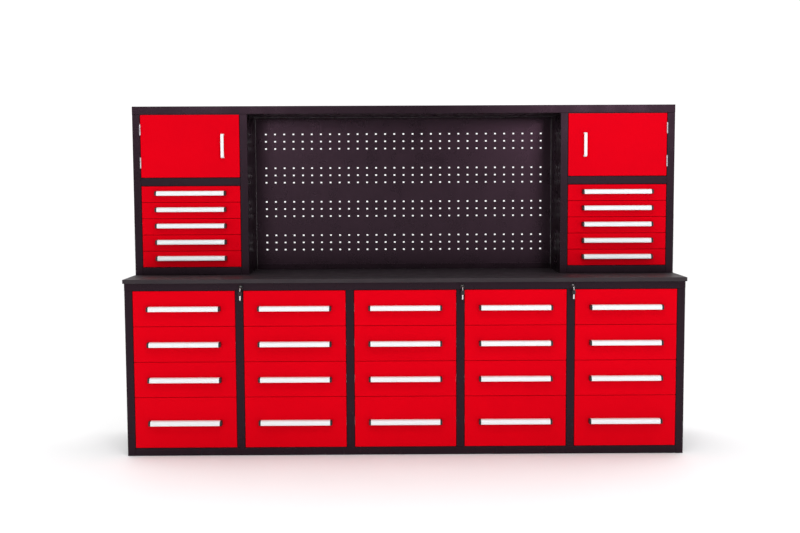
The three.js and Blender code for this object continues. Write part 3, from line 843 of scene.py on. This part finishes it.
def cut_away(target, tool_shape):
    """Cuts a shape out of a piece for good."""
    tool = bpy.data.objects.new("tool", mesh_of("tool", tool_shape))
    bpy.context.scene.collection.objects.link(tool)
    boolean = target.modifiers.new("cut", "BOOLEAN")
    boolean.operation = "DIFFERENCE"
    boolean.solver = "EXACT"
    boolean.object = tool
    normals = target.modifiers["normals"]
    normals.show_viewport = False
    graph = bpy.context.evaluated_depsgraph_get()
    target.data = bpy.data.meshes.new_from_object(target.evaluated_get(graph), depsgraph=graph)
    target.modifiers.remove(boolean)
    normals.show_viewport = True
    bpy.data.objects.remove(tool)


# ------------------------------------------------------------------ worktop


def build_worktop():
    low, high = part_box("worktop_cover")
    cover = pan(low, high, (0, 0, -1), WORKTOP_EDGE, SHEET, steps=4)
    piece("worktop_shell", cover, WORKTOP, replaces=["worktop_cover"])
    board = frame["nodes"]["worktop_board"]
    board.data.materials.clear()
    board.data.materials.append(BOARD[0])


# ------------------------------------------------------------------ hutch


def build_tower(label):
    """One tower: two uprights, floor and shelf with their rails, back, top and fixed slides."""
    node = f"{label}_tower"
    low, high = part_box(node)
    face, back = low.y, high.y
    drawers = [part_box(f"{label}_drawer_{level}") for level in range(1, 6)]
    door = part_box(f"{label}_door")
    for index, x0 in enumerate((low.x, high.x - STILE)):
        shape = upright(x0, x0 + STILE, face, back - 2 * SHEET, low.z, high.z)
        piece(f"{node}_upright_{index + 1}", shape, BLACK, replaces=[node])
    x0, x1 = low.x + STILE + FIT, high.x - STILE - FIT
    lower_rail = drawers[4][0].z - GAP
    shelf_low, shelf_high = drawers[0][1].z + GAP, door[0].z - GAP
    rear = back - 2 * SHEET
    piece(f"{node}_floor", tray_panel(x0, x1, face, rear, low.z, lower_rail), BLACK)
    piece(f"{node}_shelf", tray_panel(x0, x1, face, rear, shelf_low, shelf_high), BLACK)
    sheet = round_box(low.x, high.x, low.z, high.z, PANEL_CORNER)
    piece(f"{node}_back", extruded(sheet, "y", back - SHEET, back), BLACK)
    top = block((x0, face + SHEET, high.z - SHEET), (x1, rear, high.z))
    piece(f"{node}_top", top, BLACK)
    levels = tray_levels([f"{label}_drawer_{level}" for level in range(1, 6)])
    walls = [(low.x + STILE, 1), (high.x - STILE, -1)]
    piece(f"{node}_slides", fixed_slides(walls, levels, face, HUTCH_TRAY), ZINC)
    lines = (low.x + STILE / 2, high.x - STILE / 2)
    points = [(x, back, z) for x in lines for z in spread(low.z, high.z, 5)]
    piece(f"{node}_rivets", rivets(points), ZINC)


def build_beam():
    low, high = HUTCH_LOW, HUTCH_HIGH
    rail = tray_panel(low.x, high.x, low.y, high.y, low.z, high.z)
    piece("hutch_beam_rail", rail, BLACK, replaces=["hutch_beam"])
    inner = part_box("left_tower")[1].x + FIT
    soffit = block((inner, low.y + RETURN, low.z + FIT), (-inner, high.y - RETURN, low.z + SHEET))
    piece("hutch_beam_ends", end_plates(low, high), BLACK)
    piece("hutch_beam_soffit", soffit, BLACK)


def hole_arcs(x, z):
    """The four rounded corners of one peg hole, each as five points."""
    u, v, r = PEG_HOLE["width"] / 2, PEG_HOLE["height"] / 2, PEG_HOLE["corner"]
    corners = [(-1, -1, 180), (1, -1, 270), (1, 1, 0), (-1, 1, 90)]
    return [arc((x + a * (u - r), z + b * (v - r)), r, start, start + 90, 4) for a, b, start in corners]


def peg_sheet(x_low, x_high, z_low, z_high, front, back):
    """Perforated sheet: a net of cells, plain or with a rounded hole."""
    half = PEG["pitch"] / 2
    first = -half * (PEG["columns"] - 1)
    x_lines = [x_low] + [first - half + PEG["pitch"] * k for k in range(PEG["columns"] + 1)] + [x_high]
    z_lines = [z_low]
    for band in reversed(range(PEG["bands"])):
        top = PEG_TOP_ROW - band * PEG["band_pitch"] + PEG["row_pitch"] / 2
        z_lines += [top - PEG["row_pitch"] * k for k in range(PEG["rows"], -1, -1)]
    z_lines.append(z_high)
    bm = bmesh.new()
    for i in range(len(x_lines) - 1):
        for j in range(len(z_lines) - 1):
            corners = [(x_lines[i], z_lines[j]), (x_lines[i + 1], z_lines[j]),
                       (x_lines[i + 1], z_lines[j + 1]), (x_lines[i], z_lines[j + 1])]
            holed = 0 < i < len(x_lines) - 2 and j % (PEG["rows"] + 1) != 0 and j < len(z_lines) - 2
            for loop in holed_cell(corners) if holed else [corners]:
                bm.faces.new([bm.verts.new((u, front, v)) for u, v in loop])
    bmesh.ops.remove_doubles(bm, verts=bm.verts, dist=1e-6)
    bmesh.ops.recalc_face_normals(bm, faces=bm.faces)
    if bm.faces[:][0].normal.y > 0:
        bmesh.ops.reverse_faces(bm, faces=bm.faces)
    bmesh.ops.solidify(bm, geom=bm.faces, thickness=back - front)
    return bm


def holed_cell(corners):
    """Four faces that leave a rounded hole in the middle of a cell."""
    (x0, z0), (x1, z1) = corners[0], corners[2]
    arcs = hole_arcs((x0 + x1) / 2, (z0 + z1) / 2)
    faces = []
    for k in range(4):
        this, following = arcs[k], arcs[(k + 1) % 4]
        inner = following[2::-1] + this[:1:-1]
        faces.append([corners[k], corners[(k + 1) % 4], *inner])
    return faces


def build_tool_board():
    low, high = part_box("tool_board")
    sheet_front = high.y - SHEET
    board = peg_sheet(low.x, high.x, low.z, high.z, sheet_front, high.y)
    piece("tool_board_sheet", board, BOARD_BLACK, replaces=["tool_board"])
    strips = {"lower": (low.z, low.z + PEG_BANDS["lower"]), "upper": (high.z - PEG_BANDS["upper"], high.z)}
    for name, (z0, z1) in strips.items():
        outline = round_box(low.y, sheet_front - 0.1 * MM, z0, z1, 1.2 * MM)
        piece(f"tool_board_{name}_band", extruded(outline, "x", low.x, high.x), BLACK)


# ------------------------------------------------------------------ doors


def bow_outline():
    half, reach, bar = BOW["height"] / 2, BOW["reach"], BOW["bar"]
    path = [(0, half), (-reach, half), (-reach, -half), (0, -half)]
    return fold(path, bar, [0, 5 * MM, 5 * MM, 0], steps=6)


def knuckle(radius, low, high, bore=0.0):
    """Rolled hinge knuckle about Z with chamfered ends."""
    rim = 0.5 * MM
    profile = [(bore, low), (radius - rim, low), (radius, low + rim)]
    profile += [(radius, high - rim), (radius - rim, high), (bore, high)]
    return lathed(profile, "z", 24)


def build_door(label):
    node = f"{label}_door"
    side = -1 if label == "left" else 1
    low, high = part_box(node)
    drawer_low, drawer_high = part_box(f"{label}_drawer_1")
    x = (drawer_low.x + drawer_high.x) / 2
    half, height = FRONT_WIDTH / 2, high.z - low.z
    place = (x, HUTCH_FACE, low.z)
    shell = pan((-half, 0, 0), (half, FRONT_DEPTH, height), (0, 1, 0), FRONT_EDGE, FRONT_SHEET)
    piece(f"{node}_shell", shell, RED, node, place, replaces=[node])
    # Inner sheet that closes the door's hollow, a little inside its rim.
    rim = 3 * MM
    liner = round_box(-half + rim, half - rim, rim, height - rim, 2 * MM)
    liner = extruded(liner, "y", FRONT_DEPTH - 3 * MM, FRONT_DEPTH - 1.8 * MM)
    piece(f"{node}_liner", liner, RED, node, place)
    grip = (x - side * (half - BOW["edge"]), HUTCH_FACE, low.z + height / 2)
    bow = extruded(bow_outline(), "x", -BOW["width"] / 2, BOW["width"] / 2)
    piece(f"{node}_handle", bow, ALUMINIUM, node, grip, edge=1.4 * MM)
    hinges = []
    axis = hinge_axis(label)
    for name in ("lower", "upper"):
        frame_low, frame_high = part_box(f"{label}_door_{name}_hinge")
        level = (frame_low.z + frame_high.z) / 2
        reach = HINGE["middle"] / 2
        hinges.append(moved(knuckle(HINGE["radius"], -reach, reach, HINGE["bore"]), (axis.x, axis.y, level)))
        inner = x + side * (half - 0.2 * MM)
        outer = axis.x - side * LEAF["gap"]
        leaf = ((min(inner, outer), axis.y + HINGE["radius"] * 0.7, level - reach),
                (max(inner, outer), HUTCH_FACE + LEAF["depth"], level + reach))
        hinges.append(block(*leaf))
    piece(f"{node}_hinge_halves", merged(*hinges), ZINC, node)


def hinge_axis(label):
    joint = next(j for j in frame["joints"] if j["name"] == f"{label}_door_hinge")
    return Vector(joint["pos_m"])


def build_frame_hinges(label):
    side = -1 if label == "left" else 1
    axis = hinge_axis(label)
    for name in ("lower", "upper"):
        node = f"{label}_door_{name}_hinge"
        low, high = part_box(node)
        level = (low.z + high.z) / 2
        half, inner = (high.z - low.z) / 2, HINGE["middle"] / 2 + FIT
        parts = [knuckle(HINGE["radius"], -half, -inner), knuckle(HINGE["radius"], inner, half)]
        parts.append(knuckle(HINGE["pin"], -half - 1.2 * MM, half + 1.2 * MM))
        near, far = side * LEAF["gap"], side * (LEAF["gap"] + LEAF["sheet"])
        leaf = [min(near, far), max(near, far)]
        leaf_front = HINGE["radius"] + 1.2 * MM
        parts.append(block((leaf[0], leaf_front, -half), (leaf[1], high.y - axis.y, half)))
        for start, end in ((-half, -inner), (inner, half)):
            parts.append(block((leaf[0], HINGE["radius"] * 0.7, start), (leaf[1], leaf_front, end)))
        shape = moved(merged(*parts), (axis.x, axis.y, level))
        piece(f"{node}_frame_half", shape, ZINC, replaces=[node])


# ------------------------------------------------------------------ locks and keys


def lock_bezel():
    """Black cover ring with a dished face, seated on the rail."""
    outer, body = LOCK["bezel_radius"], LOCK["body_radius"]
    front = -LOCK["bezel"]
    bore, seat = LOCK["plug"] + FIT, -0.8 * MM
    profile = [(bore, seat), (bore, front + 1 * MM), (outer - 4 * MM, front), (outer - 1.5 * MM, front)]
    profile += [(outer, front + 1.5 * MM), (outer, -FIT), (body, -FIT), (body, seat)]
    bm = lathed(profile + profile[:1], "y", 40)
    bmesh.ops.remove_doubles(bm, verts=bm.verts, dist=1e-7)
    return bm


def lock_body():
    """Threaded barrel with a hexagonal nut behind the rail."""
    body, bore, thread = LOCK["body_radius"], LOCK["plug"] + 0.4 * MM, 1 * MM
    profile = [(bore, 0.5 * MM), (body, 0.5 * MM)]
    turns = int((LOCK["length"] - 1 * MM) / thread)
    for k in range(turns):
        profile += [(body, (1 + k) * thread), (body - 0.5 * MM, (1.5 + k) * thread)]
    profile += [(body, LOCK["length"]), (bore, LOCK["length"])]
    barrel = lathed(profile + profile[:1], "y", 32)
    bmesh.ops.remove_doubles(barrel, verts=barrel.verts, dist=1e-7)
    nut = [(body - 0.2 * MM, 2 * MM), (13 * MM, 2 * MM), (13.5 * MM, 2.6 * MM), (13.5 * MM, 5.2 * MM)]
    nut += [(13 * MM, 5.8 * MM), (body - 0.2 * MM, 5.8 * MM)]
    hexagon = lathed(nut + nut[:1], "y", 6)
    bmesh.ops.remove_doubles(hexagon, verts=hexagon.verts, dist=1e-7)
    return merged(barrel, hexagon)


def key_head(hole):
    """Outline of a key's plastic head about its ring hole, and the outline of the hole."""
    width, length = KEY["width"], KEY["length"]
    angles = [2 * math.pi * k / 40 for k in range(40)]
    outline = []
    for angle in angles:
        # A squarish oval: rounder than a rectangle, fuller than an ellipse.
        c, s = math.cos(angle), math.sin(angle)
        u = math.copysign(abs(c) ** 0.75, c) * width / 2
        v = math.copysign(abs(s) ** 0.75, s) * length / 2
        outline.append((u, v + length / 2 - KEY_RIM))
    inner = [(hole / 2 * math.cos(angle), hole / 2 * math.sin(angle)) for angle in angles]
    return outline, inner


def ring_prism(outer, inner, axis, low, high):
    """Solid between two outlines with the same number of points."""
    bm = bmesh.new()
    place = {"y": lambda u, v, w: (u, w, v), "z": lambda u, v, w: (u, v, w)}[axis]
    loops = [[bm.verts.new(place(u, v, w)) for u, v in loop] for w in (low, high) for loop in (outer, inner)]
    pairs = [(loops[0], loops[1]), (loops[3], loops[2]), (loops[2], loops[0]), (loops[1], loops[3])]
    for first, second in pairs:
        for k in range(len(first)):
            bm.faces.new((first[k - 1], first[k], second[k], second[k - 1]))
    return bm


def key_blade(width, start, end, teeth=5):
    """Outline of a flat blade, as (across, along) points, with teeth cut on one side."""
    half = width / 2
    outline = [(-half, start), (-half, end + 2 * MM), (-half + 2 * MM, end), (half - 2 * MM, end)]
    step = (start - end) * 0.75 / teeth
    for k in range(teeth):
        foot = end + 2 * MM + k * step
        depth = 1.2 * MM if k % 2 else 0.5 * MM
        outline += [(half - depth, foot), (half - depth, foot + step * 0.45), (half, foot + step * 0.7)]
    outline.append((half, start))
    return outline


def build_lock(index):
    joint = next(j for j in frame["joints"] if j["name"] == f"lock_key_{index}_turn")
    axis = Vector((joint["pos_m"][0], BASE_FACE, joint["pos_m"][2]))
    key, spare = f"lock_key_{index}", f"spare_key_{index}"
    piece(f"lock_{index}_bezel", lock_bezel(), PLASTIC, place=axis, replaces=[f"lock_cylinder_{index}"])
    piece(f"lock_{index}_barrel", lock_body(), NICKEL, place=axis)
    build_turning_key(key, axis)
    pivot = next(j for j in frame["joints"] if j["name"] == f"{spare}_hang")["pos_m"]
    build_spare_key(spare, Vector(pivot))


def build_turning_key(key, axis):
    front = -LOCK["bezel"]
    bow_end = front - KEY["shank"]
    plug = LOCK["plug"]
    tail = LOCK["length"] + 2.5 * MM
    profile = [(0, front + 0.4 * MM), (plug - 0.6 * MM, front + 0.4 * MM), (plug, front + 1 * MM)]
    core = lathed(profile + [(plug, tail), (0, tail)], "y", 32)
    cam = extruded(round_box(-5 * MM, 5 * MM, -5 * MM, 15 * MM, 4 * MM), "y",
                   LOCK["length"] + 0.4 * MM, LOCK["length"] + 2.2 * MM)
    piece(f"{key}_plug", merged(core, cam), NICKEL, key, axis, replaces=[key])
    half = KEY["sheet"] / 2
    shank_half = KEY["blade"] / 2
    shank = block((-shank_half, bow_end - 3 * MM, -half), (shank_half, front + 0.6 * MM, half))
    piece(f"{key}_shank", shank, NICKEL, key, axis, edge=0.4 * MM)
    outline, hole = key_head(6 * MM)
    tip = bow_end - KEY["length"] + KEY_RIM
    head = ring_prism(outline, hole, "z", -KEY["head"] / 2, KEY["head"] / 2)
    piece(f"{key}_head", moved(head, (0, tip, 0)), PLASTIC, key, axis, edge=1.2 * MM)
    centre = Vector((0, bow_end - KEY["length"] + 1 * MM, -RING["radius"]))
    turns, steps = 1.9, 76
    wire = []
    for k in range(steps):
        angle = 2 * math.pi * turns * k / steps
        sideways = (k / steps - 0.5) * 2.2 * RING["wire"]
        along, up = RING["radius"] * math.sin(angle), RING["radius"] * math.cos(angle)
        wire.append(centre + Vector((sideways, along, up)))
    piece(f"{key}_ring", tube(wire, RING["wire"], closed=False), NICKEL, key, axis)


def build_spare_key(spare, pivot):
    outline, hole = key_head(4 * MM)
    flipped = [[(u, -v) for u, v in loop] for loop in (outline, hole)]
    head = ring_prism(*flipped, "y", -KEY["head"] / 2, KEY["head"] / 2)
    piece(f"{spare}_head", head, PLASTIC, spare, pivot, replaces=[spare], edge=1.2 * MM)
    start = KEY_RIM - KEY["length"] + 3 * MM
    half = KEY["sheet"] / 2
    blade = extruded(key_blade(KEY["blade"], start, start - KEY_BLADE_LENGTH), "y", -half, half)
    piece(f"{spare}_blade", blade, NICKEL, spare, pivot, edge=0.25 * MM)


# ------------------------------------------------------------------ assembly

build_drawers()
build_base()
build_worktop()
for label in ("left", "right"):
    build_tower(label)
    build_door(label)
    build_frame_hinges(label)
build_beam()
build_tool_board()
for index in LOCKS:
    build_lock(index)
